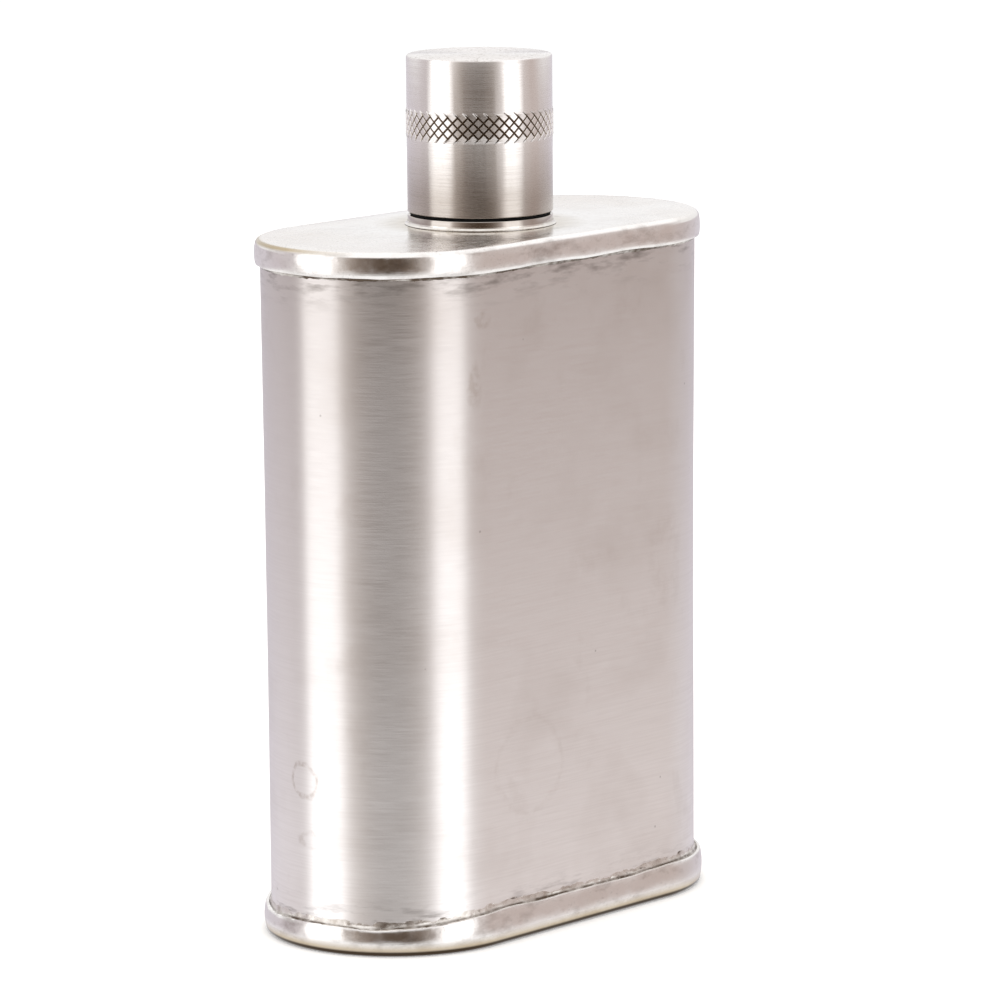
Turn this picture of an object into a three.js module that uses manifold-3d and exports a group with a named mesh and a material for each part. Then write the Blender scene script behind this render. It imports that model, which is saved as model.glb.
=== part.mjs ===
// Hip flask, built the way a tinsmith builds one. A sheet is rolled into an obround sleeve, and its
// edges are lapped and soldered on the +X end. A pressed end cap with a skirt slips over each end of
// the sleeve, and a solder bead closes each seam. A turned neck with a real thread stands in the top
// plate, and a tall turned cap with a knurled band screws onto it over a rubber sealing ring.
// Millimetres, +Z up. The origin is the middle of the flat base, and X runs along the wide side.
import * as THREE from 'three';
import { mergeVertices } from 'three/addons/utils/BufferGeometryUtils.js';
import Module from 'manifold-3d';

const wasm = await Module();
wasm.setup();

// Body
const bodyHeight = 121.5; // base to top plate
const sleeveWidth = 90.8; // over the rolled ends
const sleeveDepth = 44.4; // over the flat faces
const sleeveSheet = 0.8;
const lapLength = 5; // overlap of the sheet's two edges
const joggleLength = 1.6; // where the inner edge steps in under the outer one
const solderFilm = 0.15; // in the lap
const solderGap = 0.05; // between solder and the metal that it wets
const restGap = 0.1; // between other pieces that touch on the real flask

// End caps
const capSheet = 0.85;
const skirtFit = 0.25; // slip fit of a skirt over the sleeve
const skirtLip = 0.3; // rounding of a skirt's free edge
const topSkirt = { height: 4.7, shoulder: 1.4, bulge: 0.12 };
const bottomSkirt = { height: 5, shoulder: 0.8, bulge: 0.35 };
const beadHeight = 1.1; // solder bead beside a skirt's free edge
const beadFoot = 0.2; // thickness that the bead thins down to

// Neck
const flangeHeight = 1.5; // above the top plate
const flangeRound = 0.35;
const spoutHeight = 9; // above the flange
const spoutWall = 2.15; // between the bore and the thread's root
const spoutRound = 0.4;
const spigotStep = 0.95; // how far the spigot stands out beyond the thread's root
const spigotBelow = 1; // below the top plate's underside
const holeFit = 0.2;
const filletLeg = 1; // solder fillet round the flange
const filletHeight = 0.65;
const filletFoot = 0.08; // thickness at the fillet's two thin edges

// Screw cap and its sealing ring
const capDiameter = 25.4; // turned from one-inch bar
const capHeight = 27.3;
const capWall = 2.8; // behind the thread's deepest point
const capEdge = 0.35; // chamfer round the top
const mouthEdge = 0.15; // chamfer round the lower edge
const boreDepth = 21; // to the start of the drill point
const drillPoint = 3.5; // height of the drill point's cone
const reliefStep = 0.1; // relief above the cap's thread
const knurlBottom = 12.8; // above the cap's lower edge
const knurlWidth = 5.5;
const knurlRise = 0.13; // how far knurling lifts the metal
const ringThickness = 0.5; // sealing ring between flange and cap
const ringLip = 0.6; // upstand that snaps into the cap's mouth
const ringLipHeight = 1.2;
const ringClearance = 0.3; // round the neck's thread

// Screw thread, right-handed, the same on the neck and in the cap
const pitch = 2.5;
const threadDepth = 0.8;
const crestWidth = 0.7;
const flankAngle = THREE.MathUtils.degToRad(29);
const threadFit = 0.2; // between the two threads, along every face
const threadLow = 1.3; // from the flange to the middle of the first turn
const threadHigh = 1.3; // from the rim down to the middle of the last turn
const capThread = 7; // length of the thread in the cap
const fadeSteps = 8; // where a thread's end runs out
const sink = 0.3; // how deep a thread's root is joined into its core

const endSegments = 28; // round each end of the obround
const lapSegments = 4;
const turnSegments = 48; // round each turned piece

// Levels and radii that follow
const endRadius = sleeveDepth / 2;
const halfStraight = (sleeveWidth - sleeveDepth) / 2;
const facetBow = endRadius * (1 - Math.cos(Math.PI / endSegments / 2)); // arc over its chord
const skirtOffset = skirtFit + capSheet;
const sleeveBottom = capSheet + restGap;
const sleeveTop = bodyHeight - capSheet - restGap;
const capRadius = capDiameter / 2;
const flangeTop = bodyHeight + flangeHeight;
const ringBottom = flangeTop + restGap;
const capBottom = ringBottom + ringThickness + restGap;
const spoutTop = flangeTop + spoutHeight;
const grooveRadius = capRadius - capWall;
const crestRadius = grooveRadius - threadFit;
const rootRadius = crestRadius - threadDepth;
const boreRadius = rootRadius - spoutWall;
const spigotRadius = rootRadius + spigotStep;
const ringInner = crestRadius + ringClearance;
const ringSeat = ringInner + ringLip + restGap; // counterbore in the cap's mouth
const ringSeatDepth = ringLipHeight + restGap;

const steel = new THREE.MeshStandardMaterial({ color: '#c4bab2', roughness: 0.35, metalness: 1 });
const pressedSteel = new THREE.MeshStandardMaterial({ color: '#d2cbc5', roughness: 0.22, metalness: 1 });
const turnedSteel = new THREE.MeshStandardMaterial({ color: '#bfb6b0', roughness: 0.28, metalness: 1 });
const solder = new THREE.MeshStandardMaterial({ color: '#8d8379', roughness: 0.5, metalness: 1 });
const rubber = new THREE.MeshStandardMaterial({ color: '#141313', roughness: 0.8, metalness: 0 });

// A closed three.js geometry as a solid that can be joined and cut.
function solid(geometry) {
  geometry.deleteAttribute('normal');
  geometry.deleteAttribute('uv');
  const merged = mergeVertices(geometry, 1e-4);
  const vertProperties = merged.attributes.position.array;
  const triVerts = new Uint32Array(merged.index.array);
  return new wasm.Manifold(new wasm.Mesh({ numProp: 3, vertProperties, triVerts }));
}

// A named mesh of a finished solid.
function mesh(name, body, material, z = 0) {
  const { vertProperties, triVerts } = body.getMesh();
  const geometry = new THREE.BufferGeometry();
  geometry.setAttribute('position', new THREE.BufferAttribute(vertProperties, 3));
  geometry.setIndex(new THREE.BufferAttribute(triVerts, 1));
  geometry.computeVertexNormals();
  const piece = new THREE.Mesh(geometry, material);
  piece.name = name;
  piece.position.z = z;
  return piece;
}

// A turned solid, from a profile of [radius, z] that runs up its outside and down its inside.
function turned(profile) {
  const points = profile.map(([r, z]) => new THREE.Vector2(r, z));
  return solid(new THREE.LatheGeometry(points, turnSegments).rotateX(Math.PI / 2));
}

// A closed geometry from rings of points with equal counts, with its two ends filled.
function skin(rings, bottom, top) {
  const count = rings[0].length;
  const index = [];
  for (let ring = 0; ring + 1 < rings.length; ring++) {
    for (let i = 0; i < count; i++) {
      const a = ring * count + i;
      const b = ring * count + ((i + 1) % count);
      index.push(a, b, b + count, a, b + count, a + count);
    }
  }
  const last = (rings.length - 1) * count;
  bottom.forEach(([a, b, c]) => index.push(a, c, b));
  top.forEach(([a, b, c]) => index.push(last + a, last + b, last + c));
  const geometry = new THREE.BufferGeometry();
  geometry.setAttribute('position', new THREE.Float32BufferAttribute(rings.flat(2), 3));
  geometry.setIndex(index);
  return solid(geometry);
}

// The obround outline, moved out from the sleeve's outer face by an offset.
function outline(offset) {
  const radius = endRadius + offset;
  const points = [];
  for (const side of [1, -1]) {
    for (let i = 0; i <= endSegments; i++) {
      const angle = Math.PI * (i / endSegments - side / 2);
      points.push([side * halfStraight + radius * Math.cos(angle), radius * Math.sin(angle)]);
    }
  }
  return points;
}

// A solid whose level sections are obrounds, from [offset, z] pairs in rising order.
function obrounds(levels) {
  const rings = levels.map(([offset, z]) => outline(offset).map(([x, y]) => [x, y, z]));
  const flat = rings[0].map(([x, y]) => new THREE.Vector2(x, y));
  const faces = THREE.ShapeUtils.triangulateShape(flat, []);
  return skin(rings, faces, faces);
}

// One pressed end cap, lying with its plate down at z = 0 and its skirt standing up.
function endCap({ height, shoulder, bulge }) {
  const start = Math.max(shoulder, capSheet) + skirtLip;
  const end = height - skirtLip;
  const swelling = [0, 0.25, 0.5, 0.75, 1].map((t) => [
    bulge * Math.sin(Math.PI * t),
    start + (end - start) * t,
  ]);
  const corner = [0, 22.5, 45, 67.5, 90].map((degrees) => {
    const angle = THREE.MathUtils.degToRad(degrees);
    return [skirtOffset - shoulder * (1 - Math.sin(angle)), shoulder * (1 - Math.cos(angle))];
  });
  const outer = obrounds([
    ...corner,
    ...swelling.map(([out, z]) => [skirtOffset + out, z]),
    [skirtOffset - skirtLip, height],
  ]);
  const inner = obrounds([
    [skirtFit - skirtLip / 2, capSheet],
    [skirtFit, capSheet + skirtLip / 2],
    ...swelling.map(([out, z]) => [skirtFit + out, z]),
    [skirtFit, height + 1],
  ]);
  return outer.subtract(inner);
}

function topEndCap() {
  const hole = spigotRadius + holeFit;
  const cutter = turned([[0, -1], [hole, -1], [hole, capSheet + 1], [0, capSheet + 1]]);
  const cap = mesh('top_end_cap', endCap(topSkirt).subtract(cutter), pressedSteel, bodyHeight);
  cap.rotation.x = Math.PI;
  return cap;
}

function bottomEndCap() {
  return mesh('bottom_end_cap', endCap(bottomSkirt), pressedSteel);
}

// Solder bead on the sleeve, beside the free edge of a skirt that stands up from z = 0.
function seamBead(height) {
  const low = height + solderGap;
  const inside = solderGap + facetBow;
  const bead = obrounds([
    [skirtOffset - skirtLip, low],
    [skirtOffset / 2, low + beadHeight / 3],
    [inside + beadFoot, low + beadHeight],
  ]);
  return bead.subtract(obrounds([[inside, low - 1], [inside, low + beadHeight + 1]]));
}

function topSeamSolder() {
  const bead = mesh('top_seam_solder', seamBead(topSkirt.height), solder, bodyHeight);
  bead.rotation.x = Math.PI;
  return bead;
}

function bottomSeamSolder() {
  return mesh('bottom_seam_solder', seamBead(bottomSkirt.height), solder);
}

// A point on the +X end, at an angle and a depth below the sleeve's outer face.
function onLap(angle, depth) {
  const radius = endRadius - depth;
  return new THREE.Vector2(halfStraight + radius * Math.cos(angle), radius * Math.sin(angle));
}

const lapHalf = lapLength / endRadius / 2; // half the overlap, as an angle
const joggle = joggleLength / endRadius;
const lapSpace = solderFilm + 2 * solderGap;

// Points across the overlap at one depth, from its -Y edge to its +Y edge.
function acrossLap(depth, trim = 0) {
  return Array.from({ length: lapSegments + 1 }, (_, i) =>
    onLap((lapHalf - trim) * ((2 * i) / lapSegments - 1), depth),
  );
}

// Points round the rest of the sheet at one depth, from the overlap's +Y edge to the joggle.
function roundSheet(depth) {
  const radius = endRadius - depth;
  const points = [];
  for (const [side, from, to] of [
    [1, lapHalf, Math.PI / 2],
    [-1, Math.PI / 2, Math.PI * 1.5],
    [1, -Math.PI / 2, -lapHalf - joggle],
  ]) {
    const steps = Math.ceil((endSegments * (to - from)) / Math.PI);
    for (let i = 0; i <= steps; i++) {
      const angle = from + ((to - from) * i) / steps;
      const x = side * halfStraight + radius * Math.cos(angle);
      points.push(new THREE.Vector2(x, radius * Math.sin(angle)));
    }
  }
  return points;
}

function upright(points, bottom, top) {
  const shape = new THREE.Shape(points);
  const geometry = new THREE.ExtrudeGeometry(shape, { depth: top - bottom, bevelEnabled: false });
  return solid(geometry.translate(0, 0, bottom));
}

function bodySleeve() {
  const under = sleeveSheet + lapSpace;
  const outside = [...acrossLap(0).slice(0, -1), ...roundSheet(0), ...acrossLap(under)];
  const inside = [
    ...acrossLap(sleeveSheet).slice(0, -1),
    ...roundSheet(sleeveSheet),
    ...acrossLap(under + sleeveSheet),
  ];
  return mesh('body_sleeve', upright([...outside, ...inside.reverse()], sleeveBottom, sleeveTop), steel);
}

// Solder in the lap: a film between the two layers, and a fill in the step beside the outer edge.
function sideSeamSolder() {
  const gap = solderGap / endRadius;
  const film = sleeveSheet + solderGap;
  const slope = (sleeveSheet + lapSpace) / joggleLength;
  const clear = solderGap * Math.hypot(1, slope);
  const tip = (2 * clear) / slope / endRadius - lapHalf - joggle;
  const points = [
    onLap(tip, clear / 2),
    onLap(-lapHalf - gap, clear / 2),
    onLap(-lapHalf - gap, film),
    ...acrossLap(film, gap),
    ...acrossLap(film + solderFilm, gap).reverse(),
    onLap(-lapHalf, sleeveSheet + lapSpace - clear),
    onLap(tip, clear),
  ];
  return mesh('side_seam_solder', upright(points, sleeveBottom, sleeveTop), solder);
}

// A helical ridge from one height of its middle to another, for joining on or cutting out.
function helix({ low, high, inner, crest, widen, fade }) {
  const halfAt = (radius) => crestWidth / 2 + (crestRadius - radius) * Math.tan(flankAngle) + widen;
  const steps = Math.round(((high - low) / pitch) * turnSegments);
  const first = Math.round((low / pitch) * turnSegments);
  const rings = Array.from({ length: steps + 1 }, (_, step) => {
    const turn = (first + step) / turnSegments;
    const angle = 2 * Math.PI * turn;
    const grown = fade ? Math.min(1, step / fadeSteps, (steps - step) / fadeSteps) : 1;
    const outer = inner + sink / 2 + (crest - inner - sink / 2) * grown;
    const section = [
      [inner, -halfAt(inner)],
      [outer, -halfAt(outer)],
      [outer, halfAt(outer)],
      [inner, halfAt(inner)],
    ];
    return section.map(([r, z]) => [r * Math.cos(angle), r * Math.sin(angle), turn * pitch + z]);
  });
  const ends = [[0, 1, 2], [0, 2, 3]];
  return skin(rings.map((ring) => ring.reverse()), ends, ends);
}

function threadedNeck() {
  const spigotEnd = bodyHeight - capSheet - spigotBelow;
  const seat = bodyHeight + restGap;
  const core = turned([
    [boreRadius, spigotEnd],
    [spigotRadius, spigotEnd],
    [spigotRadius, seat],
    [capRadius, seat],
    [capRadius, flangeTop - flangeRound],
    [capRadius - flangeRound, flangeTop],
    [rootRadius, flangeTop],
    [rootRadius, spoutTop - spoutRound],
    [rootRadius - spoutRound, spoutTop],
    [boreRadius, spoutTop],
    [boreRadius, spigotEnd],
  ]);
  const ridge = helix({
    low: flangeTop + threadLow,
    high: spoutTop - threadHigh,
    inner: rootRadius - sink,
    crest: crestRadius,
    widen: 0,
    fade: true,
  });
  return mesh('threaded_neck', core.add(ridge), turnedSteel);
}

// Concave fillet that joins the flange to the top plate.
function neckSolder() {
  const inner = capRadius + solderGap;
  const low = bodyHeight + solderGap;
  const curve = [0, 22.5, 45, 67.5, 90].map((degrees) => {
    const angle = THREE.MathUtils.degToRad(degrees);
    return [
      inner + filletFoot + (filletLeg - filletFoot) * (1 - Math.sin(angle)),
      low + filletFoot + (filletHeight - filletFoot) * (1 - Math.cos(angle)),
    ];
  });
  const foot = [[inner, low], [inner + filletLeg, low]];
  const back = [[inner, low + filletHeight], [inner, low]];
  return mesh('neck_solder', turned([...foot, ...curve, ...back]), solder);
}

function sealingRing() {
  const outer = capRadius - flangeRound;
  const lip = ringInner + ringLip;
  const ring = turned([
    [ringInner, 0],
    [outer, 0],
    [outer, ringThickness],
    [lip, ringThickness],
    [lip, ringThickness + ringLipHeight],
    [ringInner, ringThickness + ringLipHeight],
    [ringInner, 0],
  ]);
  return mesh('sealing_ring', ring, rubber, ringBottom);
}

function screwCap() {
  const minor = rootRadius + threadFit;
  const relief = grooveRadius + reliefStep;
  const threadTop = ringSeatDepth + capThread;
  const raised = capRadius + knurlRise;
  const knurlTop = knurlBottom + knurlWidth;
  const blank = turned([
    [0, boreDepth + drillPoint],
    [relief, boreDepth],
    [relief, threadTop],
    [minor, threadTop],
    [minor, ringSeatDepth],
    [ringSeat, ringSeatDepth],
    [ringSeat, 0],
    [capRadius - mouthEdge, 0],
    [capRadius, mouthEdge],
    [capRadius, knurlBottom],
    [raised, knurlBottom + knurlRise],
    [raised, knurlTop - knurlRise],
    [capRadius, knurlTop],
    [capRadius, capHeight - capEdge],
    [capRadius - capEdge, capHeight],
    [0, capHeight],
  ].map(([r, z]) => [r, z + capBottom]));
  const groove = helix({
    low: capBottom + ringSeatDepth - pitch,
    high: capBottom + threadTop + pitch,
    inner: minor - sink,
    crest: grooveRadius,
    widen: threadFit / Math.cos(flankAngle),
    fade: false,
  });
  return mesh('screw_cap', blank.subtract(groove), turnedSteel);
}

const flask = new THREE.Group();
flask.add(bodySleeve(), sideSeamSolder());
flask.add(topEndCap(), topSeamSolder(), bottomEndCap(), bottomSeamSolder());
flask.add(threadedNeck(), neckSolder(), sealingRing(), screwCap());

export default flask;
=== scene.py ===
# Tinsmith's hip flask: a brushed obround sleeve between two pressed end caps, rough soft-soldered
# seams, a turned neck with a screw thread, and a tall turned cap with a diamond-knurled band.
import bpy
import bmesh
import math
from mathutils import Matrix, Vector


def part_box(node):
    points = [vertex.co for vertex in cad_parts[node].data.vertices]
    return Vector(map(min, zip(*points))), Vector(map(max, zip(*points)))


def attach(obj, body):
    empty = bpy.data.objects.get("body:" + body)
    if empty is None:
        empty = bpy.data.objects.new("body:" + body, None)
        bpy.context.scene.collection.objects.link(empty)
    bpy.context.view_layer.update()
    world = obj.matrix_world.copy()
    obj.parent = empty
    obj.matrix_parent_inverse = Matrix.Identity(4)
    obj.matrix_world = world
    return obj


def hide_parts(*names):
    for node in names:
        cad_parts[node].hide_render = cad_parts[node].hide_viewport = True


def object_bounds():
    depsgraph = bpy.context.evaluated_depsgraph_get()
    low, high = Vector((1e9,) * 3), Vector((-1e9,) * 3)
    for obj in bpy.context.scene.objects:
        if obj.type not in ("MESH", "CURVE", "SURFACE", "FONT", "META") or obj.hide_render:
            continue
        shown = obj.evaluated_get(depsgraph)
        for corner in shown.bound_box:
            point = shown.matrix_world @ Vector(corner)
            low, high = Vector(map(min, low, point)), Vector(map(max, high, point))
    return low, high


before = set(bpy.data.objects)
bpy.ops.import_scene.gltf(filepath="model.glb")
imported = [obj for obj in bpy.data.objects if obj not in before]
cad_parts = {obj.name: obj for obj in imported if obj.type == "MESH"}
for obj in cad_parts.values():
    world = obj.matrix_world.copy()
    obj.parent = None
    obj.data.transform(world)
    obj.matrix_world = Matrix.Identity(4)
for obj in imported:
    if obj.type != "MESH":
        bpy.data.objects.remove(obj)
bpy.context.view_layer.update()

mm = 0.001
fullTurn = 2 * math.pi
weld = 0.002 * mm  # points nearer than this become one
near = 0.01 * mm  # points this near lie at the same height
kinds = {"VERT": "verts", "EDGE": "edges", "FACE": "faces"}


# working in edit mode
def enter(piece):
    if bpy.context.mode != "OBJECT":
        bpy.ops.object.mode_set(mode="OBJECT")
    bpy.ops.object.select_all(action="DESELECT")
    piece.select_set(True)
    bpy.context.view_layer.objects.active = piece
    bpy.ops.object.mode_set(mode="EDIT")


def leave():
    bpy.ops.object.mode_set(mode="OBJECT")


# selects only what the test says yes to, by its place or normal
def pick(piece, kind, test):
    bpy.ops.mesh.select_mode(type=kind)
    bpy.ops.mesh.select_all(action="DESELECT")
    mesh = bmesh.from_edit_mesh(piece.data)
    for item in getattr(mesh, kinds[kind]):
        if test(item):
            item.select_set(True)
    mesh.select_flush_mode()
    bmesh.update_edit_mesh(piece.data)


def closeUp():
    bpy.ops.mesh.select_all(action="SELECT")
    bpy.ops.mesh.remove_doubles(threshold=weld)
    bpy.ops.mesh.normals_make_consistent(inside=False)


# a line of edges through the points, pulled out of a single vertex
def drawLine(name, points):
    bpy.ops.object.select_all(action="DESELECT")
    bpy.ops.mesh.primitive_plane_add(size=mm, location=points[0])
    piece = bpy.context.active_object
    piece.name = name
    bpy.ops.object.transform_apply(location=True, rotation=False, scale=False)
    bpy.ops.object.mode_set(mode="EDIT")
    bpy.ops.mesh.select_mode(type="VERT")
    bpy.ops.mesh.select_all(action="SELECT")
    bpy.ops.mesh.merge(type="CENTER")
    for start, end in zip(points, points[1:]):
        step = Vector(end) - Vector(start)
        bpy.ops.mesh.extrude_region_move(TRANSFORM_OT_translate={"value": step})
    bpy.ops.object.mode_set(mode="OBJECT")
    return piece


# anticlockwise, seen from above
def spinLine(steps, angle=fullTurn, center=(0, 0, 0)):
    bpy.ops.mesh.spin(steps=steps, angle=angle, center=center, axis=(0, 0, -1))


# turns a line of (radius, height) points all the way round
def turned(name, profile, steps):
    piece = drawLine(name, [(radius, 0, height) for radius, height in profile])
    enter(piece)
    bpy.ops.mesh.select_all(action="SELECT")
    spinLine(steps)
    closeUp()
    leave()
    return piece


# finishing a piece with modifiers
def applyModifier(piece, kind, **settings):
    modifier = piece.modifiers.new(kind.title(), kind)
    for name, value in settings.items():
        setattr(modifier, name, value)
    bpy.ops.object.select_all(action="DESELECT")
    piece.select_set(True)
    bpy.context.view_layer.objects.active = piece
    bpy.ops.object.modifier_apply(modifier=modifier.name)


def clouds(name, size, depth=2):
    texture = bpy.data.textures.new(name, "CLOUDS")
    texture.noise_scale = size
    texture.noise_depth = depth
    return texture


# puts the vertices that the test picks into a group, for a modifier to work on
def makeGroup(piece, name, test):
    piece.vertex_groups.new(name=name)
    enter(piece)
    pick(piece, "VERT", test)
    bpy.ops.object.vertex_group_assign()
    leave()
    return name


# pushes a surface in and out, or along one axis, by soft noise fixed in space
def ruffle(piece, texture, strength, direction="NORMAL", group=""):
    applyModifier(piece, "DISPLACE", texture=texture, strength=strength, mid_level=0.5,
                  direction=direction, texture_coords="GLOBAL", vertex_group=group)


def smooth(piece, degrees=30):
    bpy.ops.object.select_all(action="DESELECT")
    piece.select_set(True)
    bpy.context.view_layer.objects.active = piece
    bpy.ops.object.shade_smooth_by_angle(angle=math.radians(degrees))


def finishPiece(piece, material, body, node):
    piece.data.materials.clear()
    piece.data.materials.append(material)
    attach(piece, body)
    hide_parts(node)
    print("made", piece.name, len(piece.data.polygons), "faces")


# the obround outline, read off the sleeve's box
sleeveLow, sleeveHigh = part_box("body_sleeve")
endRadius = sleeveHigh.y
half = sleeveHigh.x - endRadius  # half the straight between the two round ends
longEdge = 1.9 * half  # only the edges along the straights are longer


# carries a line of (offset from the sleeve's face, height) points round the obround
def swept(name, profile, endSteps, flatSteps):
    piece = drawLine(name, [(half, -endRadius - offset, height) for offset, height in profile])
    enter(piece)
    bpy.ops.mesh.select_all(action="SELECT")
    for side in (1, -1):
        spinLine(endSteps, math.pi, (side * half, 0, 0))
        straight = (-side * 2 * half, 0, 0)
        bpy.ops.mesh.extrude_region_move(TRANSFORM_OT_translate={"value": straight})
    closeUp()
    pick(piece, "EDGE", lambda edge: edge.calc_length() > longEdge)
    bpy.ops.mesh.subdivide(number_cuts=flatSteps - 1)
    leave()
    return piece


# fills the open obround hole at one height with a flat face
def fillHole(piece, height):
    enter(piece)
    pick(piece, "EDGE", lambda edge: edge.is_boundary
         and all(abs(vert.co.z - height) < near for vert in edge.verts))
    bpy.ops.mesh.edge_face_add()
    closeUp()
    leave()


# points of a quarter round, from along the plate to down the wall
def quarter(offset, level, radius, down, steps=6):
    points = []
    for step in range(steps + 1):
        angle = math.pi / 2 * step / steps
        points.append((offset - radius * (1 - math.sin(angle)),
                       level + down * radius * (1 - math.cos(angle))))
    return points


# brushed sleeve, one sheet lapped on its +X end
sleeve = {
    "sheet": 0.8 * mm,
    "lap": 5 * mm,  # the overlap
    "joggle": 1.6 * mm,  # where the inner edge steps in
    "layerStep": 1.05 * mm,  # from the outer layer's face to the inner layer's
    "levels": 60,
    "pinch": 0.16 * mm,  # how far the walls draw in at mid height
    "flare": 0.45 * mm,  # how much further out the top edge is than the foot
    "wave": 0.12 * mm,
    "waveSize": 34 * mm,
    "endSteps": 112,
    "flatSteps": 48,
}


def makeSleeve():
    low, high = sleeveLow.z, sleeveHigh.z
    lapHalf = sleeve["lap"] / endRadius / 2
    joggle = sleeve["joggle"] / endRadius
    wall = []
    for level in range(sleeve["levels"] + 1):
        share = level / sleeve["levels"]
        draw = sleeve["pinch"] * math.sin(math.pi * share) ** 1.5
        draw -= sleeve["flare"] * (share - 0.4)
        wall.append((endRadius - draw, low + (high - low) * share))
    start = -lapHalf
    piece = drawLine("body_sleeve_sheet", [
        (half + radius * math.cos(start), radius * math.sin(start), height)
        for radius, height in wall])
    stepAngle = math.pi / sleeve["endSteps"]
    enter(piece)
    bpy.ops.mesh.select_all(action="SELECT")

    def around(side, angle):
        spinLine(max(2, round(angle / stepAngle)), angle, (side * half, 0, 0))

    around(1, math.pi / 2 + lapHalf)
    bpy.ops.mesh.extrude_region_move(TRANSFORM_OT_translate={"value": (-2 * half, 0, 0)})
    around(-1, math.pi)
    bpy.ops.mesh.extrude_region_move(TRANSFORM_OT_translate={"value": (2 * half, 0, 0)})
    around(1, math.pi / 2 - lapHalf - joggle)
    around(1, joggle)
    # the last row is pulled in under the outer layer, then carried on across the overlap
    inward = Vector((-math.cos(start), -math.sin(start), 0)) * sleeve["layerStep"]
    bpy.ops.transform.translate(value=inward)
    around(1, 2 * lapHalf)
    bpy.ops.mesh.select_all(action="SELECT")
    bpy.ops.mesh.normals_make_consistent(inside=False)
    pick(piece, "EDGE", lambda edge: edge.calc_length() > longEdge)
    bpy.ops.mesh.subdivide(number_cuts=sleeve["flatSteps"] - 1)
    leave()
    return piece


# pressed end caps
topLow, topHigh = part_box("top_end_cap")
bottomLow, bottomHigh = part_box("bottom_end_cap")

endCap = {
    "sheet": 0.85 * mm,
    "plate": 3 * mm,  # width of flat plate swept along with the skirt
    "lip": 0.35 * mm,  # the free edge curls in by this much
    "hole": 10.05 * mm,  # radius of the hole for the neck's spigot
    "endSteps": 150,
    "flatSteps": 90,
    "ripple": 0.45 * mm,  # how far the free edge wanders up and down
    "rippleSize": 11 * mm,
    "dents": 0.2 * mm,  # how far the skirt wanders in and out
    "dentSize": 8 * mm,
}
# rounding of the shoulder, swelling of the skirt and slip fit over the sleeve
topCup = {"shoulder": 1.15 * mm, "bulge": 0.12 * mm, "fit": 0.25 * mm}
bottomCup = {"shoulder": 0.9 * mm, "bulge": 0.24 * mm, "fit": 0.06 * mm}
footShift = 0.15 * mm  # the lower cup sits a little towards the lapped end
# the lower cup's edge was trimmed by hand: (place along X, height) in mm
lipLine = [(-48, 5.3), (-43, 4.6), (-38, 5), (-30, 5.7), (-22, 6.2), (-8, 5.95),
           (14, 5.8), (26, 6.1), (48, 5.8)]
lipMiddle = 5.4 * mm


def lipAt(across):
    for (fromX, fromZ), (toX, toZ) in zip(lipLine, lipLine[1:]):
        if across < toX * mm:
            return (fromZ + (toZ - fromZ) * (across / mm - fromX) / (toX - fromX)) * mm


# stretches what stands above a fixed height until its edge follows the trimmed line
def trimEdge(piece, fixed):
    width = 1 * mm
    enter(piece)
    for step in range(-47, 47):
        left = step * mm
        pick(piece, "VERT", lambda vert: left <= vert.co.x < left + width and vert.co.z > fixed)
        tall = (lipAt(left + width / 2) - fixed) / (lipMiddle - fixed)
        bpy.ops.transform.resize(value=(1, 1, tall), center_override=(0, 0, fixed))
    leave()


# one cup: its plate lies at one level and its skirt runs to the free edge at another
def makeCup(name, cup, plateLevel, edgeLevel):
    down = 1 if edgeLevel > plateLevel else -1
    height = abs(edgeLevel - plateLevel)
    fit = cup["fit"]
    outside = fit + endCap["sheet"]
    shoulder, lip, sheet = cup["shoulder"], endCap["lip"], endCap["sheet"]

    def swelling(share):
        return cup["bulge"] * math.sin(math.pi * share) ** 0.8

    skirt = [(step / 9, shoulder + (height - lip - shoulder) * step / 9) for step in range(1, 10)]
    profile = [(outside - shoulder - endCap["plate"], plateLevel)]
    profile += quarter(outside, plateLevel, shoulder, down)
    profile += [(outside + swelling(share), plateLevel + down * depth) for share, depth in skirt]
    profile += [(outside - 0.3 * lip, edgeLevel - down * 0.3 * lip),
                (outside - lip, edgeLevel),
                (outside - 1.6 * lip, edgeLevel)]
    profile += [(fit + swelling(share), plateLevel + down * depth)
                for share, depth in reversed(skirt) if depth > 1.5 * sheet]
    profile += [(fit, plateLevel + down * 1.4 * sheet),
                (fit - 0.4 * sheet, plateLevel + down * sheet),
                (outside - shoulder - endCap["plate"], plateLevel + down * sheet)]
    piece = swept(name, profile, endCap["endSteps"], endCap["flatSteps"])
    fillHole(piece, plateLevel)
    fillHole(piece, plateLevel + down * sheet)
    skirtFrom = plateLevel + down * 1.6 * sheet
    group = makeGroup(piece, "skirt", lambda vert: (vert.co.z - skirtFrom) * down > 0)
    ruffle(piece, clouds(name + "Dents", endCap["dentSize"]), endCap["dents"], group=group)
    edgeFrom = edgeLevel - down * 0.35 * height
    group = makeGroup(piece, "edge", lambda vert: (vert.co.z - edgeFrom) * down > 0)
    ruffle(piece, clouds(name + "Ripple", endCap["rippleSize"]), endCap["ripple"], "Z", group)
    return piece


def makeTopCap():
    piece = makeCup("top_end_cap_pressing", topCup, topHigh.z, topLow.z + 0.25 * mm)
    bpy.ops.object.select_all(action="DESELECT")
    bpy.ops.mesh.primitive_cylinder_add(
        vertices=96, radius=endCap["hole"], depth=6 * endCap["sheet"], location=(0, 0, topHigh.z))
    cutter = bpy.context.active_object
    applyModifier(piece, "BOOLEAN", operation="DIFFERENCE", object=cutter, solver="EXACT")
    bpy.data.objects.remove(cutter)
    return piece


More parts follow.
